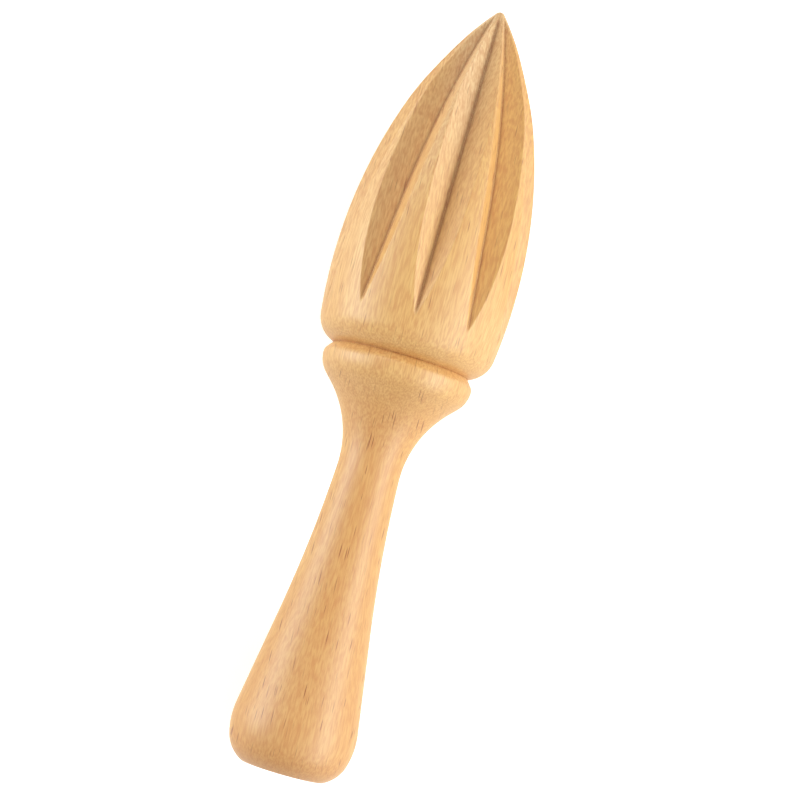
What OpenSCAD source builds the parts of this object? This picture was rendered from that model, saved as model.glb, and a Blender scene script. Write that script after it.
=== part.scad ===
// Hand citrus reamer, turned from one blank of beech.
// It is drawn lying at rest on a table: the thick part of the head and the rounded end
// of the handle both touch the plane z = 0, and one flute faces straight up.
// Lengths are in millimetres. The origin is under the middle of the piece.

/* [Overall] */
// Length from the flat end of the handle to the tip
total_len = 170; // [155:0.5:190]

/* [Head] */
// Distance from the tip to the bottom of the groove under the head
head_len = 79.3; // [74:0.1:84]
// Diameter of the head at its widest ring
head_d = 40.4; // [38:0.2:46]
// Distance of the widest ring from the tip
belly_pos = 60.2; // [56:0.2:64]
// Radius of the long curve over the widest ring
belly_curve_r = 111; // [100:1:130]
// Distance from the tip at which the tighter nose curve takes over
nose_len = 24.6; // [18:0.2:30]
// Radius of the rounded tip
tip_r = 1.2; // [0.8:0.1:1.6]
// Angle of the head's underside to the axis
under_angle = 65.5; // [58:0.5:72]
// Radius of the head's lower edge
under_r = 6.2; // [4:0.1:7.5]

/* [Flutes] */
// Number of flutes round the head
flute_count = 10; // [8:1:12]
// Angle between the two walls of a flute
flute_angle = 104.5; // [90:0.5:115]
// Distance from the tip at which the root of a flute stops curving
flute_curve_len = 48.5; // [44:0.5:54]
// Distance from the axis to a flute's root where the curve stops
flute_root_r = 15.95; // [15.2:0.05:16.6]
// Slope of the root to the axis from there on, which lets the flute run out
flute_slope = 9; // [7:0.5:11]
// Distance from the axis to a flute's root at the tip
flute_tip_r = 1; // [0.4:0.1:1.6]

/* [Collar and neck] */
// Diameter at the bottom of the groove
groove_d = 29.8; // [27:0.1:31]
// Diameter of the collar under the groove
collar_d = 32.9; // [32:0.1:34]
// Distance from the bottom of the groove to the collar's widest ring
collar_gap = 2.5; // [2.2:0.1:3.2]
// Radius of the collar's edge towards the groove
collar_upper_r = 1.6; // [1.2:0.1:2.2]
// Radius of the collar's edge towards the neck
collar_lower_r = 6.1; // [4.5:0.1:7]
// Angle of the collar's underside to the axis
collar_angle = 44; // [40:0.5:48]
// Diameter of the neck at its thinnest ring
neck_d = 13.7; // [12:0.1:15]
// Distance from the bottom of the groove to the neck's thinnest ring
neck_gap = 24.2; // [22:0.1:27]

/* [Handle] */
// Diameter of the handle at its thick end
butt_d = 27.1; // [25:0.1:28.5]
// Distance of the thickest ring from the flat end
butt_pos = 9.1; // [8:0.1:10.5]
// Radius of the curve over the thickest ring
butt_curve_r = 16.2; // [14:0.1:20]
// Diameter of the flat end
butt_flat_d = 18.2; // [16:0.1:19.5]
// Radius of the edge round the flat end
butt_edge_r = 7.6; // [7:0.1:9]
// Diameter that the handle's straight taper would reach at the neck's thinnest ring
taper_d = 9.6; // [8:0.1:11]
// Distance from the neck's thinnest ring over which the taper curves into the neck
flare_len = 34.5; // [28:0.5:38]

/* [Hidden] */

wood_colour = "#dcae7a";
// Longest straight step along a curve of the outline, as an angle on the curve
small_step = 9;
long_step = 1.5;
root_step = 1.8;
// Height of a flute's V above its root, past the surface everywhere
flute_h = 9;
$fn = 144;

// Unit vector at an angle a, and the angle of a vector
function dir(a) = [cos(a), sin(a)];
function angle_of(v) = atan2(v[1], v[0]);
// Points along an arc about c, from angle a0 to angle a1, without its first point
function arc(c, r, a0, a1, step) =
    let (n = ceil(abs(a1 - a0) / step))
    [for (i = [1:n]) c + r * dir(a0 + (a1 - a0) * i / n)];
// Where two circles cross, on the left of the line from c1 to c2
function circles_cross(c1, r1, c2, r2) =
    let (d = norm(c2 - c1), a = (d * d + r1 * r1 - r2 * r2) / (2 * d), e = (c2 - c1) / d)
    c1 + a * e + sqrt(r1 * r1 - a * a) * [-e[1], e[0]];

// The outline below is in the plane of the axis: [distance from the flat end, radius].

// Groove, collar and neck: the collar's underside is tangent to its rounded edge and to
// the hollow of the neck, and the lower wall of the groove is tangent to its other edge.
groove = [total_len - head_len, groove_d / 2];
neck_u = groove[0] - neck_gap;
collar_top = [groove[0] - collar_gap, collar_d / 2];
lower_c = collar_top - [0, collar_lower_r];
collar_low = lower_c + collar_lower_r * dir(90 + collar_angle);
neck_r = (sin(collar_angle) * (collar_low[0] - neck_u)
    - cos(collar_angle) * (collar_low[1] - neck_d / 2)) / (1 - cos(collar_angle));
neck_c = [neck_u, neck_d / 2 + neck_r];
upper_c = collar_top - [0, collar_upper_r];
to_groove = groove - upper_c;
groove_a = angle_of(to_groove) + acos(collar_upper_r / norm(to_groove));

// Handle: the edge arc starts on the rim of the flat end and runs into the curve over the
// thickest ring. The straight taper leaves that curve and aims below the neck.
butt_c = [butt_pos, butt_d / 2 - butt_curve_r];
flat_rim = [0, butt_flat_d / 2];
edge_c = circles_cross(flat_rim, butt_edge_r, butt_c, butt_curve_r - butt_edge_r);
butt_a = angle_of(edge_c - butt_c);
to_aim = [neck_u, taper_d / 2] - butt_c;
taper_a = angle_of(to_aim) + acos(butt_curve_r / norm(to_aim));
taper_n = dir(taper_a);
taper_start = butt_c + butt_curve_r * taper_n;
taper_run = (neck_u - flare_len - taper_start[0]) / sin(taper_a);
taper_stop = taper_start + taper_run * dir(taper_a - 90);

// The long hollow between the taper and the neck is tangent to both.
to_neck = taper_stop - neck_c;
flare_r = (neck_r * neck_r - to_neck * to_neck) / (2 * (taper_n * to_neck + neck_r));
flare_c = taper_stop + flare_r * taper_n;
flare_a = angle_of(neck_c - flare_c);

// Head: its underside is the upper wall of the groove, and its lower edge is tangent to
// that and to the curve over the widest ring.
belly_c = [total_len - belly_pos, head_d / 2 - belly_curve_r];
wall = dir(under_angle);
belly_slope = asin((belly_c[0] - groove[0]) / belly_curve_r);
belly_low = belly_c[1] + belly_curve_r * cos(belly_slope);
wall_len = (belly_low - groove[1]) / sin(under_angle);
// The edge's radius is as asked, or as large as the wall of the groove allows
rim_r = min(under_r, wall_len / tan((under_angle - belly_slope) / 2));
rim_0 = groove + rim_r * dir(under_angle - 90);
reach = (rim_0 - belly_c) * wall;
rim_c = rim_0 + wall * (sqrt(reach * reach - (rim_0 - belly_c) * (rim_0 - belly_c)
    + (belly_curve_r - rim_r) * (belly_curve_r - rim_r)) - reach);
rim_a = angle_of(rim_c - belly_c);

// Nose: its curve leaves the belly curve smoothly and ends on the rounded tip.
nose_a = acos((total_len - nose_len - belly_c[0]) / belly_curve_r);
nose_start = belly_c + belly_curve_r * dir(nose_a);
tip_c = [total_len - tip_r, 0];
from_tip = nose_start - tip_c;
nose_r = (from_tip * from_tip - tip_r * tip_r) / (2 * (dir(nose_a) * from_tip - tip_r));
nose_c = nose_start - nose_r * dir(nose_a);
tip_a = angle_of(tip_c - nose_c);

outline = concat(
    [[0, 0], flat_rim],
    arc(edge_c, butt_edge_r, angle_of(flat_rim - edge_c), butt_a, small_step),
    arc(butt_c, butt_curve_r, butt_a, taper_a, small_step),
    [taper_stop],
    arc(flare_c, flare_r, 180 + taper_a, 360 + flare_a, long_step),
    arc(neck_c, neck_r, 360 + flare_a, 270 + collar_angle, small_step),
    [collar_low],
    arc(lower_c, collar_lower_r, 90 + collar_angle, 90, small_step),
    arc(upper_c, collar_upper_r, 90, groove_a, small_step),
    [groove],
    arc(rim_c, rim_r, under_angle + 90, rim_a, small_step),
    arc(belly_c, belly_curve_r, rim_a, nose_a, long_step),
    arc(nose_c, nose_r, nose_a, tip_a, long_step),
    arc(tip_c, tip_r, tip_a, 0, small_step)
);

// Flute root, in the same plane: an arc from the tip, then a straight run that rises out
// of the head's surface and stops above the groove.
root_tip = [total_len, flute_tip_r];
root_mid = [total_len - flute_curve_len, flute_root_r];
root_turn = 2 * (180 - flute_slope - angle_of(root_mid - root_tip));
root_r = norm(root_mid - root_tip) / (2 * sin(root_turn / 2));
root_a = 90 - flute_slope;
root_c = root_mid - root_r * dir(root_a);
root_end = root_mid + (root_mid[0] - groove[0]) * [-1, tan(flute_slope)];
// Turn by which the arc starts past the tip
past_tip = 2;
root_line = concat(
    arc(root_c, root_r, root_a - root_turn - past_tip, root_a, root_step),
    [root_end]
);

// The axis leans up towards the tip, so that the curve over the widest ring of the head
// and the curve over the handle's end share a tangent, which lies on the table.
lean_v = belly_c - butt_c;
lean = angle_of(lean_v) + acos((butt_curve_r - belly_curve_r) / norm(lean_v)) - 90;
rest_h = butt_curve_r + butt_c[1] * cos(lean) - butt_c[0] * sin(lean);
// Ends of the leaning piece along X, seen from the centre of its flat end
tip_x = tip_c[0] * cos(lean) + tip_r;
butt_x = -butt_flat_d / 2 * sin(lean);

module turned_blank() {
    rotate([0, 90, 0])
        rotate_extrude()
            polygon([for (p = outline) [p[1], p[0]]]);
}

// One flute, straight above the axis: a V carried along the root line
module flute() {
    half_w = flute_h * tan(flute_angle / 2);
    section = [[0, 0], [half_w, flute_h], [-half_w, flute_h]];
    n = len(root_line);
    polyhedron(
        [for (p = root_line, s = section) [p[0], s[0], p[1] + s[1]]],
        concat(
            [[0, 2, 1]],
            [for (i = [0:n - 2], j = [0:2])
                let (k = (j + 1) % 3)
                [3 * i + k, 3 * i + 3 + k, 3 * i + 3 + j, 3 * i + j]],
            [[3 * n - 3, 3 * n - 2, 3 * n - 1]]
        )
    );
}

module reamer() {
    color(wood_colour)
        translate([-(tip_x + butt_x) / 2, 0, rest_h])
            rotate([0, -lean, 0])
                difference() {
                    turned_blank();
                    for (i = [0:flute_count - 1])
                        rotate([i * 360 / flute_count, 0, 0]) flute();
                }
}

reamer();
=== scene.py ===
import math
import bpy
import numpy as np
from mathutils import Matrix, Vector


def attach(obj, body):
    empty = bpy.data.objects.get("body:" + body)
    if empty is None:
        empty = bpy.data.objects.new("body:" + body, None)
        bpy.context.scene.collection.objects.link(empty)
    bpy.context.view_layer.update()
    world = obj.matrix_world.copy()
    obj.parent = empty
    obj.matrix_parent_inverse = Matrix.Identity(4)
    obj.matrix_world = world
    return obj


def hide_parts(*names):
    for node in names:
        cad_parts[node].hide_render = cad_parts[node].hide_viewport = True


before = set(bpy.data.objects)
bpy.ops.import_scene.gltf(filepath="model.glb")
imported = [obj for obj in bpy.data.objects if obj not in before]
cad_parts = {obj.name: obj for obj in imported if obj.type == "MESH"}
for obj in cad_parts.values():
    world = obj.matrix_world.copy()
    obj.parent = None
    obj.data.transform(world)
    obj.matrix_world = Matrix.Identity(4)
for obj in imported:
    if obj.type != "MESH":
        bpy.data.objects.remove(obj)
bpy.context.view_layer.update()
mm = 0.001
mergeWithin = 0.0008 * mm      # points nearer than this are one
print("stage: frame loaded")

# The turned shape, in millimetres and degrees. Lengths along the axis are from the flat end (u),
# or from the tip where they say so; r is the distance from the axis.
reamer = {
    "totalLen": 170,
    "headLen": 79.3, "headD": 40.4, "bellyPos": 60.2, "bellyCurveR": 111,
    "noseLen": 24.6, "tipR": 1.2, "underAngle": 65.5, "underR": 6.2,
    "grooveD": 29.8, "collarD": 32.9, "collarGap": 2.5, "collarUpperR": 1.6,
    "collarLowerR": 6.1, "collarAngle": 44, "neckD": 13.7, "neckGap": 24.2,
    "buttD": 27.1, "buttPos": 9.1, "buttCurveR": 16.2, "buttFlatD": 18.2, "buttEdgeR": 7.6,
    "taperD": 9.6, "flareLen": 34.5,
    # the fine cut that the parting tool leaves at the bottom of the groove, and its section in
    # shares of half its width and of its depth
    "creaseWidth": 0.3, "creaseDepth": 0.22,
    "creaseSection": ((-0.35, -0.6), (0, -1), (0.2, -0.6)),
    # spacing of the mesh's rings: on long curves, on small ones, and in shares of a surface
    "ringStep": 0.95, "fineStep": 0.33, "taperRings": 20,
    "flatRings": (0, 0.25, 0.5, 0.75, 0.93, 0.975, 1),
    "wallRings": ((0.65, 0.3, 0), (0, 0.15, 0.5, 1)),       # the groove's two walls
    "finePos": 63,          # they are fine from the groove to here, from the tip, where the flutes run out
}

flutes = {
    "count": 10, "angle": 104.5, "curveLen": 48.5, "rootR": 15.95, "slope": 9, "tipR": 1,
    "columns": 28,          # mesh columns to a flute
    "marks": (0, 2, 6, 10, 14),             # root, beside it, before and after the arris, ridge
    "rootBand": 0.3, "arrisBand": 0.24,     # widths of the close columns there
    "arrisLeast": 3, "ridgeLeast": 1.4,     # least angle from the root to the arris, and on to the ridge
    "startAbove": 3,        # nothing is cut nearer to the groove than this
    "evenLen": 3,           # length over which the columns turn even below the flutes
    "leastR": 0.02,         # near the tip, sizes are taken as if this far from the axis
    "arrisSoft": 0.12,      # how far the sanding blends an arris with the surface
    "ridgeSoft": 0.16,      # the same where two flutes meet in a ridge
    "rootSoft": 0.1,        # rounding at the bottom of a flute
}


def direction(angle):
    return np.array([math.cos(math.radians(angle)), math.sin(math.radians(angle))])


def angleOf(v):
    return math.degrees(math.atan2(v[1], v[0]))


def arcPoints(centre, radius, start, end, step):
    # points along an arc without its first one, no further apart than step
    n = max(2, math.ceil(radius * math.radians(abs(end - start)) / step))
    return [centre + radius * direction(start + (end - start) * i / n) for i in range(1, n + 1)]


def circlesCross(c1, r1, c2, r2):
    # crossing on the left of the line from c1 to c2
    d = np.hypot(*(c2 - c1))
    a = (d * d + r1 * r1 - r2 * r2) / (2 * d)
    e = (c2 - c1) / d
    return c1 + a * e + math.sqrt(r1 * r1 - a * a) * np.array([-e[1], e[0]])


def tangentAngle(centre, radius, point):
    # angle on a circle at which the line to an outside point leaves it
    away = point - centre
    return angleOf(away) + math.degrees(math.acos(radius / np.hypot(*away)))


def outlineOf(p):
    # the outline from the flat end to the tip as [u, r], and how the piece lies on the table
    step, fine = p["ringStep"], p["fineStep"]
    neckStep, tightStep = step * 0.7, fine * 0.5
    groove = np.array([p["totalLen"] - p["headLen"], p["grooveD"] / 2])
    neckU = groove[0] - p["neckGap"]

    collarTop = np.array([groove[0] - p["collarGap"], p["collarD"] / 2])
    lowerC = collarTop - [0, p["collarLowerR"]]
    upperC = collarTop - [0, p["collarUpperR"]]
    collarLow = lowerC + p["collarLowerR"] * direction(90 + p["collarAngle"])
    under = direction(p["collarAngle"])
    neckR = (under[1] * (collarLow[0] - neckU)
             - under[0] * (collarLow[1] - p["neckD"] / 2)) / (1 - under[0])
    neckC = np.array([neckU, p["neckD"] / 2 + neckR])
    upperA = tangentAngle(upperC, p["collarUpperR"], groove)

    buttC = np.array([p["buttPos"], p["buttD"] / 2 - p["buttCurveR"]])
    flatRim = np.array([0, p["buttFlatD"] / 2])
    edgeC = circlesCross(flatRim, p["buttEdgeR"], buttC, p["buttCurveR"] - p["buttEdgeR"])
    buttA = angleOf(edgeC - buttC)
    taperA = tangentAngle(buttC, p["buttCurveR"], np.array([neckU, p["taperD"] / 2]))
    taperN = direction(taperA)
    taperStart = buttC + p["buttCurveR"] * taperN
    run = (neckU - p["flareLen"] - taperStart[0]) / math.sin(math.radians(taperA))
    n = p["taperRings"]
    taper = [taperStart + run * i / n * direction(taperA - 90) for i in range(1, n + 1)]
    toNeck = taper[-1] - neckC
    flareR = (neckR ** 2 - toNeck @ toNeck) / (2 * (taperN @ toNeck + neckR))
    flareC = taper[-1] + flareR * taperN
    flareA = angleOf(neckC - flareC)

    bellyC = np.array([p["totalLen"] - p["bellyPos"], p["headD"] / 2 - p["bellyCurveR"]])
    wall = direction(p["underAngle"])
    rim0 = groove + p["underR"] * direction(p["underAngle"] - 90)
    toBelly = rim0 - bellyC
    reach = toBelly @ wall
    inner = p["bellyCurveR"] - p["underR"]
    rimC = rim0 + wall * (math.sqrt(reach ** 2 - toBelly @ toBelly + inner ** 2) - reach)
    rimA = angleOf(rimC - bellyC)
    noseA = math.degrees(math.acos((p["totalLen"] - p["noseLen"] - bellyC[0]) / p["bellyCurveR"]))
    noseStart = bellyC + p["bellyCurveR"] * direction(noseA)
    tipC = np.array([p["totalLen"] - p["tipR"], 0])
    fromTip = noseStart - tipC
    noseR = (fromTip @ fromTip - p["tipR"] ** 2) / (2 * (direction(noseA) @ fromTip - p["tipR"]))
    noseC = noseStart - noseR * direction(noseA)
    tipA = angleOf(tipC - noseC)
    fineA = math.degrees(math.acos((p["totalLen"] - p["finePos"] - bellyC[0]) / p["bellyCurveR"]))

    flat = [np.array([0, p["buttFlatD"] / 2 * k]) for k in p["flatRings"]]
    points = (
        flat
        + arcPoints(edgeC, p["buttEdgeR"], angleOf(flatRim - edgeC), buttA, fine)
        + arcPoints(buttC, p["buttCurveR"], buttA, taperA, step)
        + taper
        + arcPoints(flareC, flareR, 180 + taperA, 360 + flareA, step)
        + arcPoints(neckC, neckR, 360 + flareA, 270 + p["collarAngle"], neckStep)
        + [collarLow]
        + arcPoints(lowerC, p["collarLowerR"], 90 + p["collarAngle"], 90, fine)
        + arcPoints(upperC, p["collarUpperR"], 90, upperA, tightStep)
    )
    # down into the groove, round its crease and up its other wall
    rimStart = rimC - p["underR"] * direction(p["underAngle"] - 90)
    crease = p["creaseWidth"] / 2
    for wallEnd, shares in zip((points[-1], rimStart), p["wallRings"]):
        wallLen = np.hypot(*(wallEnd - groove)) - crease
        wallDir = (wallEnd - groove) / (wallLen + crease)
        points += [groove + wallDir * (crease + wallLen * k) for k in shares]
        if wallEnd is not rimStart:
            points += [groove + (x * crease, y * p["creaseDepth"]) for x, y in p["creaseSection"]]
    points += (
        arcPoints(rimC, p["underR"], p["underAngle"] + 90, rimA, fine)
        + arcPoints(bellyC, p["bellyCurveR"], rimA, fineA, fine)
        + arcPoints(bellyC, p["bellyCurveR"], fineA, noseA, step)
        + arcPoints(noseC, noseR, noseA, tipA, step)
        + arcPoints(tipC, p["tipR"], tipA, 0, tightStep)
    )
    points[-1][1] = 0

    # the head's widest curve and the curve over the handle's end share a tangent on the table
    lean = tangentAngle(buttC, p["buttCurveR"] - p["bellyCurveR"], bellyC) - 90
    c, s = math.cos(math.radians(lean)), math.sin(math.radians(lean))
    tipX = tipC[0] * c + p["tipR"]
    buttX = -p["buttFlatD"] / 2 * s
    base = Vector((-(tipX + buttX) / 2, 0, p["buttCurveR"] + buttC[1] * c - buttC[0] * s)) * mm
    return np.array(points), math.radians(lean), base


outline, lean, base = outlineOf(reamer)
axisDir = Vector((math.cos(lean), 0, math.sin(lean)))       # towards the tip
topDir = Vector((-math.sin(lean), 0, math.cos(lean)))       # up, square to the axis


def rootRadius(u, f, p):
    # distance of a flute's root from the axis: an arc from the tip, then a straight run out of the head
    tip = np.array([p["totalLen"], f["tipR"]])
    mid = np.array([p["totalLen"] - f["curveLen"], f["rootR"]])
    turn = 2 * (180 - f["slope"] - angleOf(mid - tip))
    radius = np.hypot(*(mid - tip)) / (2 * math.sin(math.radians(turn / 2)))
    arcC = mid - radius * direction(90 - f["slope"])
    arc = arcC[1] + np.sqrt(np.maximum(radius ** 2 - (u - arcC[0]) ** 2, 0))
    line = mid[1] + (mid[0] - u) * math.tan(math.radians(f["slope"]))
    return np.where(u > mid[0], arc, line)


def blendLow(a, b, width):
    # the lower of two heights, with the corner between them rounded
    h = np.maximum(width - np.abs(a - b), 0) / width
    return np.minimum(a, b) - h * h * width / 4


def wallRadius(root, away, f):
    # distance from the axis to a flute's wall, at an angle away from the middle of the flute
    t, e = math.tan(math.radians(f["angle"] / 2)), f["rootSoft"]
    c, s = np.cos(away), np.sin(away)
    k = c * c * t * t - s * s
    inside = np.maximum((root * c * t * t) ** 2 - k * ((root * t) ** 2 - e * e), 0)
    return (root * c * t * t + np.sqrt(inside)) / k


def turnBlank(points, columns):
    # one point, extruded along the outline and spun round the axis
    bpy.ops.object.select_all(action="DESELECT")
    bpy.ops.mesh.primitive_plane_add(size=mm, location=(0, 0, 0))
    piece = bpy.context.object
    bpy.ops.object.mode_set(mode="EDIT")
    bpy.ops.mesh.merge(type="CENTER")
    for a, b in zip(points, points[1:]):
        bpy.ops.mesh.extrude_region_move(
            TRANSFORM_OT_translate={"value": ((b[0] - a[0]) * mm, 0, (b[1] - a[1]) * mm)})
    bpy.ops.mesh.select_all(action="SELECT")
    bpy.ops.mesh.spin(steps=columns, angle=2 * math.pi, center=(0, 0, 0), axis=(1, 0, 0))
    bpy.ops.mesh.select_all(action="SELECT")
    bpy.ops.mesh.remove_doubles(threshold=mergeWithin)
    bpy.ops.mesh.normals_make_consistent(inside=False)
    bpy.ops.object.mode_set(mode="OBJECT")
    return piece


def carveFlutes(piece, f, p):
    # the head's columns are drawn towards the roots and arrises, then sunk to the flutes' walls
    n = len(piece.data.vertices)
    co = np.empty(n * 3)
    piece.data.vertices.foreach_get("co", co)
    co = co.reshape(-1, 3) / mm
    u, r = co[:, 0], np.hypot(co[:, 1], co[:, 2])
    theta = np.arctan2(co[:, 1], co[:, 2])
    pitch = 2 * math.pi / f["count"]
    middle = np.round(theta / pitch) * pitch
    share = (theta - middle) / (pitch / 2)          # -1..1 across a flute
    side, q = np.sign(share), np.minimum(np.abs(share), 1)

    head = u > p["totalLen"] - p["headLen"] + f["startAbove"]
    rr = np.maximum(r, f["leastR"])
    root = rootRadius(u, f, p)
    half, ang = pitch / 2, math.radians(f["angle"] / 2)
    inside = np.clip(np.minimum(root, rr) * math.sin(ang) / rr, 0, 1)
    arris = np.where(root < rr, ang - np.arcsin(inside), 0)
    arris = np.clip(arris, math.radians(f["arrisLeast"]), half - math.radians(f["ridgeLeast"]))
    around = np.minimum(f["arrisBand"] / rr, arris / 3)
    nearRoot = np.minimum(f["rootBand"] / rr, arris / 4)
    outer = np.minimum(around, (half - arris) * 0.6)
    stops = np.stack([0 * rr, nearRoot, arris - around, arris + outer, half + 0 * rr])
    marks = np.array(f["marks"]) / f["marks"][-1]
    away = np.zeros(n)
    for i in range(len(marks) - 1):
        part = np.clip((q - marks[i]) / (marks[i + 1] - marks[i]), 0, 1)
        away += part * (stops[i + 1] - stops[i])
    endU = u[(root < r) & head].min()                # where the flutes run out
    plain = np.clip((endU - u) / f["evenLen"], 0, 1)
    plain = plain * plain * (3 - 2 * plain)
    away = away * (1 - plain) + q * half * plain

    wall = blendLow(wallRadius(root, away, f), wallRadius(root, 2 * half - away, f), f["ridgeSoft"])
    sunk = blendLow(r, wall, np.minimum(f["arrisSoft"], rr))
    sunk = np.where(r < 1e-3, r, np.maximum(sunk, f["leastR"] / 2))      # the tip itself stays
    newR = np.where(head, sunk, r)
    newTheta = np.where(head, middle + side * away, theta)
    co[:, 1], co[:, 2] = newR * np.sin(newTheta), newR * np.cos(newTheta)
    piece.data.vertices.foreach_set("co", (co * mm).ravel())
    piece.data.update()


reamerPiece = turnBlank(outline, flutes["count"] * flutes["columns"])
reamerPiece.name = reamerPiece.data.name = "beechReamer"
carveFlutes(reamerPiece, flutes, reamer)
lay = Matrix.Translation(base) @ Matrix.Rotation(-lean, 4, "Y")
reamerPiece.data.transform(lay)
bpy.ops.object.select_all(action="DESELECT")
reamerPiece.select_set(True)
bpy.context.view_layer.objects.active = reamerPiece
bpy.ops.object.shade_smooth()
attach(reamerPiece, "root")
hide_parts("reamer")
print("stage: reamer turned and fluted,", len(reamerPiece.data.polygons), "faces")


def linearHex(code):
    channels = [int(code[i:i + 2], 16) / 255 for i in (1, 3, 5)]
    return [c / 12.92 if c <= 0.04045 else ((c + 0.055) / 1.055) ** 2.4 for c in channels] + [1]


def addNode(tree, kind, settings=None, inputs=None):
    # adds a node; an input is a value, or another node's output socket to link
    node = tree.nodes.new(kind)
    for name, value in (settings or {}).items():
        setattr(node, name, value)
    for name, value in (inputs or {}).items():
        if isinstance(value, bpy.types.NodeSocket):
            tree.links.new(value, node.inputs[name])
        else:
            node.inputs[name].default_value = value
    return node


# Lengths are in millimetres. A pair of numbers is where something starts and where it is full or
# gone; a cell of three is how long, wide and deep one patch of a pattern is; a share is how much
# of a darker colour is mixed in.
beech = {
    "rose": "#E8BD7E", "honey": "#E1B064", "lateWood": "#BA6E32", "fleck": "#94501C",
    "grainTurn": -2,                                # the grain runs a few degrees off the axis

    # growth rings lie flat across the piece, seen from above, and stray a little
    "ringGap": 3.15, "firstRing": 9.7, "ringWander": 1.2, "wanderCell": (50, 15, 15),
    "ringShare": 0.17, "slowShare": 0.15,           # the thin line of late wood, and the rise to it
    "slowRise": (0.25, 0.85), "slowDrop": (0.85, 1), "lineRise": (0.82, 0.93), "lineDrop": (0.95, 1),
    "gapCell": (30, 8, 8), "gapRange": (0.4, 0.62), # the line comes and goes

    # painted shade: the handle darker along its top, between these heights above the axis, fading before
    # the head
    "handleTopShadeFrom": (2, 8), "handleTopShadeTo": (16, 20), "handleTopShadeEnd": (74, 88), "handleTopShadeShare": 0.29,
    # the head turns from rose to honey across about half of the width, more and more along its run: partly
    # painted light, paler rose on the left where more light falls and yellower honey on the right, partly
    # tone that strays at random
    "toneWidth": 36, "toneRun": (98, 128), "toneCell": (60, 8, 8), "toneStray": 0.6,
    # painted highlight on the lit middle walls towards the tip, centred here across and this far to each
    # side
    "tipHighlight": "#EDD3AB", "tipHighlightShare": 0.55, "tipHighlightRun": (112, 160), "tipHighlightMiddle": -3, "tipHighlightWidth": 9,

    # ray flecks: the room that each has, its size in shares of that, and how dark it is outside
    # the painted shade on the handle's top and in it
    "fleckCell": (6, 0.44, 7), "fleckCore": 0.12, "fleckReach": 0.2, "fleckVary": 0.22,
    "fleckDark": (0.714, 1.092), "fleckPower": 2,
    # fibres, drawn some five times coarser than real ones, so that they show, and longer streaks
    "fibreCell": (4, 0.34, 0.34), "fibreDark": 0.52,
    "streakCell": (24, 1.3, 1.3), "streakDark": 0.15,
    "endReach": (3, 11), "endCell": (12, 3, 3), "endStray": 6, "endDark": 0.2,  # darker towards the flat end of the handle
    # painted shade in the roots of the flutes, darker where the walls hide the surface: how near the walls
    # are, and how open the place is
    "rootShade": "#7A380E", "rootShadeDark": 0.95, "rootShadeReach": 1.1, "rootShadeOpen": (0.66, 0.98),
    "headRun": (88, 100),                           # there is none of it in the groove, below the head

    "roughness": 0.5, "rootShadeRough": 0.9, "ior": 1.6, "specular": 0.7, "sheen": 0.15, "sheenRough": 0.3,
    "bumpStrength": 0.15, "bumpDepth": 0.04,
}
mostNoise = (0.3, 0.7)      # nearly all of a noise lies between these


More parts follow.
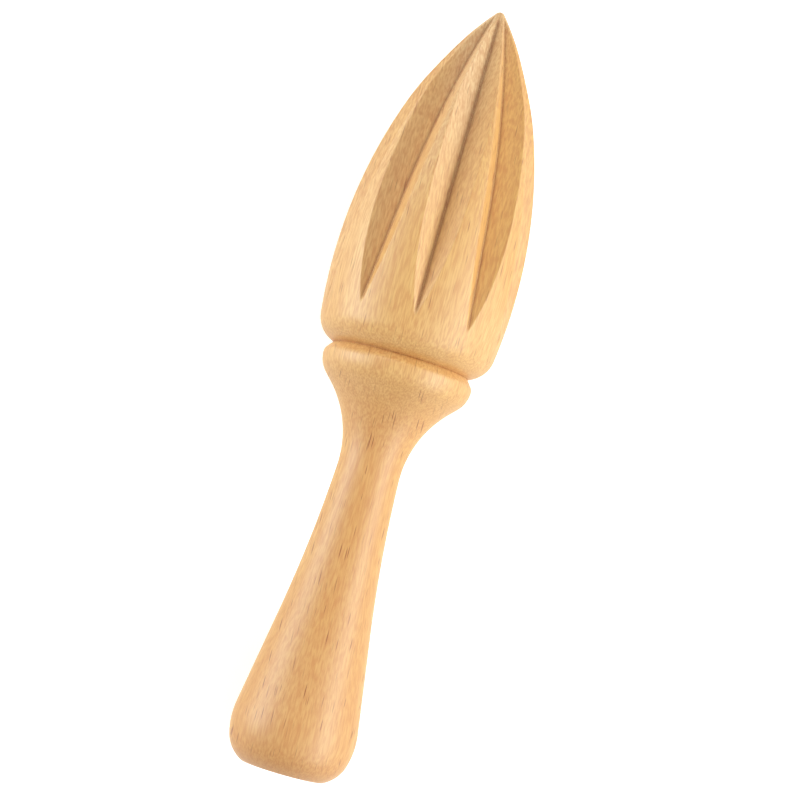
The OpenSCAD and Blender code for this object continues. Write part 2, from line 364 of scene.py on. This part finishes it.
def makeBeech(b):
    # Steamed beech, sanded fine and lightly oiled: satin, pinkish tan, with short dark ray flecks
    material = bpy.data.materials.new("steamedBeechSandedOiled")
    material.use_nodes = True
    tree = material.node_tree
    tree.nodes.clear()

    def maths(operation, a, c=0.5, d=0.5):
        return addNode(tree, "ShaderNodeMath", {"operation": operation}, {0: a, 1: c, 2: d}).outputs[0]

    def mixed(share, a, c):
        return addNode(tree, "ShaderNodeMix", {"data_type": "RGBA"}, {0: share, 6: a, 7: c}).outputs[2]

    def stretched(cell):
        scale = tuple(1 / length for length in cell)
        return addNode(tree, "ShaderNodeMapping", None, {"Vector": wood, "Scale": scale}).outputs[0]

    def noise(cell, detail):
        return addNode(tree, "ShaderNodeTexNoise", None, {
            "Vector": stretched(cell), "Scale": 1, "Detail": detail}).outputs[0]

    def spread(value, low, high, toLow=0, toHigh=1):
        # a value from low..high taken to toLow..toHigh, held at both ends
        return addNode(tree, "ShaderNodeMapRange", {"interpolation_type": "SMOOTHSTEP"}, {
            "Value": value, "From Min": low, "From Max": high,
            "To Min": toLow, "To Max": toHigh}).outputs[0]

    # wood coordinates in millimetres: x along the grain, z up through the growth rings
    turn = Matrix.Rotation(math.radians(b["grainTurn"]), 3, "Z") @ Matrix.Rotation(lean, 3, "Y")
    place = addNode(tree, "ShaderNodeTexCoord").outputs["Object"]
    wood = addNode(tree, "ShaderNodeMapping", None, {
        "Vector": place, "Scale": (1 / mm,) * 3, "Rotation": (0, lean, math.radians(b["grainTurn"])),
        "Location": -(turn @ base) / mm}).outputs[0]
    apart = addNode(tree, "ShaderNodeSeparateXYZ", None, {"Vector": wood}).outputs
    along, across, up = apart["X"], apart["Y"], apart["Z"]

    # growth rings: each darkens slowly to its thin line
    strayed = maths("MULTIPLY_ADD", noise(b["wanderCell"], 2), 2 * b["ringWander"], up)
    ring = maths("SUBTRACT", strayed, b["firstRing"] + b["ringWander"])
    ring = maths("FRACT", maths("DIVIDE", ring, b["ringGap"]))
    slow = spread(ring, *b["slowRise"], 0, b["slowShare"])
    slow = maths("MULTIPLY", slow, spread(ring, *b["slowDrop"], 1, 0))
    line = maths("MULTIPLY", spread(ring, *b["lineRise"]), spread(ring, *b["lineDrop"], 1, 0))
    line = maths("MULTIPLY", line, spread(noise(b["gapCell"], 1), *b["gapRange"]))
    lateWood = maths("MULTIPLY", maths("ADD", slow, line), b["ringShare"])

    # the painted shade along the handle's top, with soft edges
    handleTopShade = maths("MULTIPLY", spread(strayed, *b["handleTopShadeFrom"], 0, b["handleTopShadeShare"]),
                  spread(strayed, *b["handleTopShadeTo"], 1, 0))
    handleTopShade = maths("MULTIPLY", handleTopShade, spread(along, *b["handleTopShadeEnd"], 1, 0))

    # ray flecks: thin upright rays, cut to short dashes where the surface faces up; a few are dark
    rays = addNode(tree, "ShaderNodeTexVoronoi", None, {"Vector": stretched(b["fleckCell"]), "Scale": 1})
    chance = addNode(tree, "ShaderNodeSeparateColor", None, {"Color": rays.outputs["Color"]}).outputs
    edge = maths("MULTIPLY_ADD", chance[1], b["fleckVary"], b["fleckReach"])
    body = spread(rays.outputs["Distance"], b["fleckCore"], edge, 1, 0)
    strength = maths("MULTIPLY", maths("POWER", chance[0], b["fleckPower"]),
                     spread(handleTopShade, 0, b["handleTopShadeShare"], *b["fleckDark"]))
    fleck = maths("MULTIPLY", body, strength)

    # painted shade: 1 at the roots of the flutes, where the walls hide the surface, none in the groove
    # under the head
    hidden = addNode(tree, "ShaderNodeAmbientOcclusion", {"samples": 8, "only_local": True}, {
        "Distance": b["rootShadeReach"] * mm}).outputs["AO"]
    rootShade = maths("MULTIPLY", spread(hidden, *b["rootShadeOpen"], 1, 0), spread(along, *b["headRun"]))

    # slow change of tone, partly painted light: paler rose to the left of the head, yellower honey to the
    # right
    turning = maths("MULTIPLY", across, spread(along, *b["toneRun"], 0, -1 / b["toneWidth"]))
    tone = maths("MULTIPLY_ADD", noise(b["toneCell"], 2), b["toneStray"], turning)
    colour = mixed(spread(tone, 0, b["toneStray"]), linearHex(b["rose"]), linearHex(b["honey"]))
    # painted highlight: paler towards the tip, across its middle
    offTipHighlight = maths("ABSOLUTE", maths("SUBTRACT", across, b["tipHighlightMiddle"]))
    tipHighlight = spread(offTipHighlight, 0, b["tipHighlightWidth"], b["tipHighlightShare"], 0)
    tipHighlight = maths("MULTIPLY", tipHighlight, spread(along, *b["tipHighlightRun"]))
    colour = mixed(tipHighlight, colour, linearHex(b["tipHighlight"]))

    fibre = noise(b["fibreCell"], 2)
    atEnd = maths("MULTIPLY_ADD", noise(b["endCell"], 2), b["endStray"], along)
    for share, dark in (
            (lateWood, "lateWood"),
            # painted shade along the handle's top, mixed in the late wood colour
            (handleTopShade, "lateWood"),
            (spread(atEnd, *b["endReach"], b["endDark"], 0), "lateWood"),
            (spread(noise(b["streakCell"], 3), *mostNoise, b["streakDark"], 0), "lateWood"),
            (spread(fibre, *mostNoise, b["fibreDark"], 0), "lateWood"),
            (fleck, "fleck"),
            # painted shade in the roots of the flutes
            (maths("MULTIPLY", rootShade, b["rootShadeDark"]), "rootShade")):
        colour = mixed(share, colour, linearHex(b[dark]))

    bump = addNode(tree, "ShaderNodeBump", None, {
        "Strength": b["bumpStrength"], "Distance": b["bumpDepth"] * mm, "Height": fibre})
    shader = addNode(tree, "ShaderNodeBsdfPrincipled", None, {
        "Base Color": colour, "Roughness": spread(rootShade, 0, 1, b["roughness"], b["rootShadeRough"]),
        "IOR": b["ior"], "Specular IOR Level": b["specular"],
        "Sheen Weight": b["sheen"], "Sheen Roughness": b["sheenRough"], "Normal": bump.outputs[0]})
    addNode(tree, "ShaderNodeOutputMaterial", None, {"Surface": shader.outputs[0]})
    return material


reamerPiece.data.materials.clear()
reamerPiece.data.materials.append(makeBeech(beech))
print("stage: beech made")

studio = {
    "floorColour": "#F4F3F1", "floorSide": 4,
    "floorDrop": 0.05,      # the paper lies this far under the wood, in millimetres
    "background": "#FFFFFF", "backgroundStrength": 1,
    "floorGlow": 0.5,       # what the camera and reflections see of the background's white in the floor
    "fillColour": "#FFE8D4", "fillStrength": 0.275, "lampColour": "#F4FFFD",
    # azimuth is round the reamer's axis from straight above, positive to the photograph's right;
    # along is towards the tip, and a size is given round the axis, then along it, all in metres
    "lamps": [
        {"name": "leftSoftbox", "azimuth": -70, "along": 0, "distance": 0.7,
         "size": (0.45, 0.35), "watts": 3.7},
        {"name": "rightStrip", "azimuth": 62, "along": 0, "distance": 0.7,
         "size": (0.35, 1.1), "watts": 6.75},
        {"name": "tipSoftbox", "azimuth": -35, "along": 0.45, "distance": 0.54,
         "size": (0.3, 0.3), "watts": 0.95},
        {"name": "topSoftbox", "azimuth": 18, "along": -0.25, "distance": 0.66,
         "size": (0.5, 0.5), "watts": 0.46},
    ],
}

# The camera looks at the middle of the axis from half a metre off, above a point nearer the
# handle. Lengths are in millimetres, the clip in metres, and the last three sizes in pixels.
view = {
    "middle": 85, "foot": 41.4, "distance": 500, "azimuth": -0.7, "roll": 16.13,
    "clip": (0.01, 50),
    "focalPixels": 2338.9, "frame": 800,
    "middleAt": (-6.95, -13.8),     # from the centre of the frame, right and down
}


def roundAxis(azimuth):
    # direction square to the axis, turned round it from straight above
    a = math.radians(azimuth)
    return topDir * math.cos(a) - Vector((0, 1, 0)) * math.sin(a)


def addCamera(v):
    eye = base + axisDir * v["foot"] * mm + roundAxis(v["azimuth"]) * v["distance"] * mm
    target = base + axisDir * v["middle"] * mm
    forward = (target - eye).normalized()
    up = (axisDir - forward * axisDir.dot(forward)).normalized()
    right = forward.cross(up)
    roll = math.radians(v["roll"])
    upR = up * math.cos(roll) - right * math.sin(roll)
    rightR = right * math.cos(roll) + up * math.sin(roll)
    data = bpy.data.cameras.new("camera")
    data.lens = v["focalPixels"] / v["frame"] * data.sensor_width
    data.shift_x = -v["middleAt"][0] / v["frame"]
    data.shift_y = v["middleAt"][1] / v["frame"]
    data.clip_start, data.clip_end = v["clip"]
    camera = bpy.data.objects.new("camera", data)
    bpy.context.scene.collection.objects.link(camera)
    camera.matrix_world = Matrix((
        (rightR.x, upR.x, -forward.x, eye.x),
        (rightR.y, upR.y, -forward.y, eye.y),
        (rightR.z, upR.z, -forward.z, eye.z),
        (0, 0, 0, 1)))
    bpy.context.scene.camera = camera


def addLamp(lamp):
    middle = base + axisDir * view["middle"] * mm
    aim = roundAxis(lamp["azimuth"])
    data = bpy.data.lights.new(lamp["name"], "AREA")
    data.shape = "RECTANGLE"
    data.size, data.size_y = lamp["size"]
    data.energy = lamp["watts"]
    data.color = linearHex(studio["lampColour"])[:3]
    light = bpy.data.objects.new(lamp["name"], data)
    bpy.context.scene.collection.objects.link(light)
    light.location = middle + aim * lamp["distance"] + axisDir * lamp["along"]
    back = (light.location - middle).normalized()
    side = axisDir.cross(back).normalized()
    up = back.cross(side)
    light.matrix_world = Matrix((
        (side.x, up.x, back.x, light.location.x),
        (side.y, up.y, back.y, light.location.y),
        (side.z, up.z, back.z, light.location.z),
        (0, 0, 0, 1)))


def seenRays(tree):
    # 1 for rays that show the background: straight to the camera, by a reflection or through glass
    path = addNode(tree, "ShaderNodeLightPath").outputs
    seen = path["Is Camera Ray"]
    for kind in ("Is Glossy Ray", "Is Transmission Ray"):
        both = addNode(tree, "ShaderNodeMath", {"operation": "MAXIMUM"}, {0: seen, 1: path[kind]})
        seen = both.outputs[0]
    return seen


def addFloor(s):
    bpy.ops.object.select_all(action="DESELECT")
    bpy.ops.mesh.primitive_plane_add(size=s["floorSide"], location=(0, 0, -s["floorDrop"] * mm))
    floor = bpy.context.object
    floor.name = "paperFloor"
    material = bpy.data.materials.new("whitePaper")
    material.use_nodes = True
    tree = material.node_tree
    tree.nodes.clear()
    out = addNode(tree, "ShaderNodeOutputMaterial")
    paper = addNode(tree, "ShaderNodeBsdfDiffuse", None, {"Color": linearHex(s["floorColour"])})
    glow = addNode(tree, "ShaderNodeEmission", None, {
        "Color": linearHex(s["background"]), "Strength": s["floorGlow"]})
    both = addNode(tree, "ShaderNodeAddShader")
    tree.links.new(paper.outputs[0], both.inputs[0])
    tree.links.new(glow.outputs[0], both.inputs[1])
    mix = addNode(tree, "ShaderNodeMixShader", None, {"Fac": seenRays(tree)})
    tree.links.new(paper.outputs[0], mix.inputs[1])
    tree.links.new(both.outputs[0], mix.inputs[2])
    tree.links.new(mix.outputs[0], out.inputs["Surface"])
    floor.data.materials.append(material)


def setWorld(s):
    world = bpy.data.worlds.new("studio")
    bpy.context.scene.world = world
    world.use_nodes = True
    tree = world.node_tree
    tree.nodes.clear()
    out = addNode(tree, "ShaderNodeOutputWorld")
    fill = addNode(tree, "ShaderNodeBackground", None, {
        "Color": linearHex(s["fillColour"]), "Strength": s["fillStrength"]})
    seen = addNode(tree, "ShaderNodeBackground", None, {
        "Color": linearHex(s["background"]), "Strength": s["backgroundStrength"]})
    mix = addNode(tree, "ShaderNodeMixShader", None, {"Fac": seenRays(tree)})
    tree.links.new(fill.outputs[0], mix.inputs[1])
    tree.links.new(seen.outputs[0], mix.inputs[2])
    tree.links.new(mix.outputs[0], out.inputs["Surface"])


addCamera(view)
for lamp in studio["lamps"]:
    addLamp(lamp)
addFloor(studio)
setWorld(studio)
bpy.context.scene.view_settings.view_transform = "Standard"
print("stage: camera, lamps and floor set")
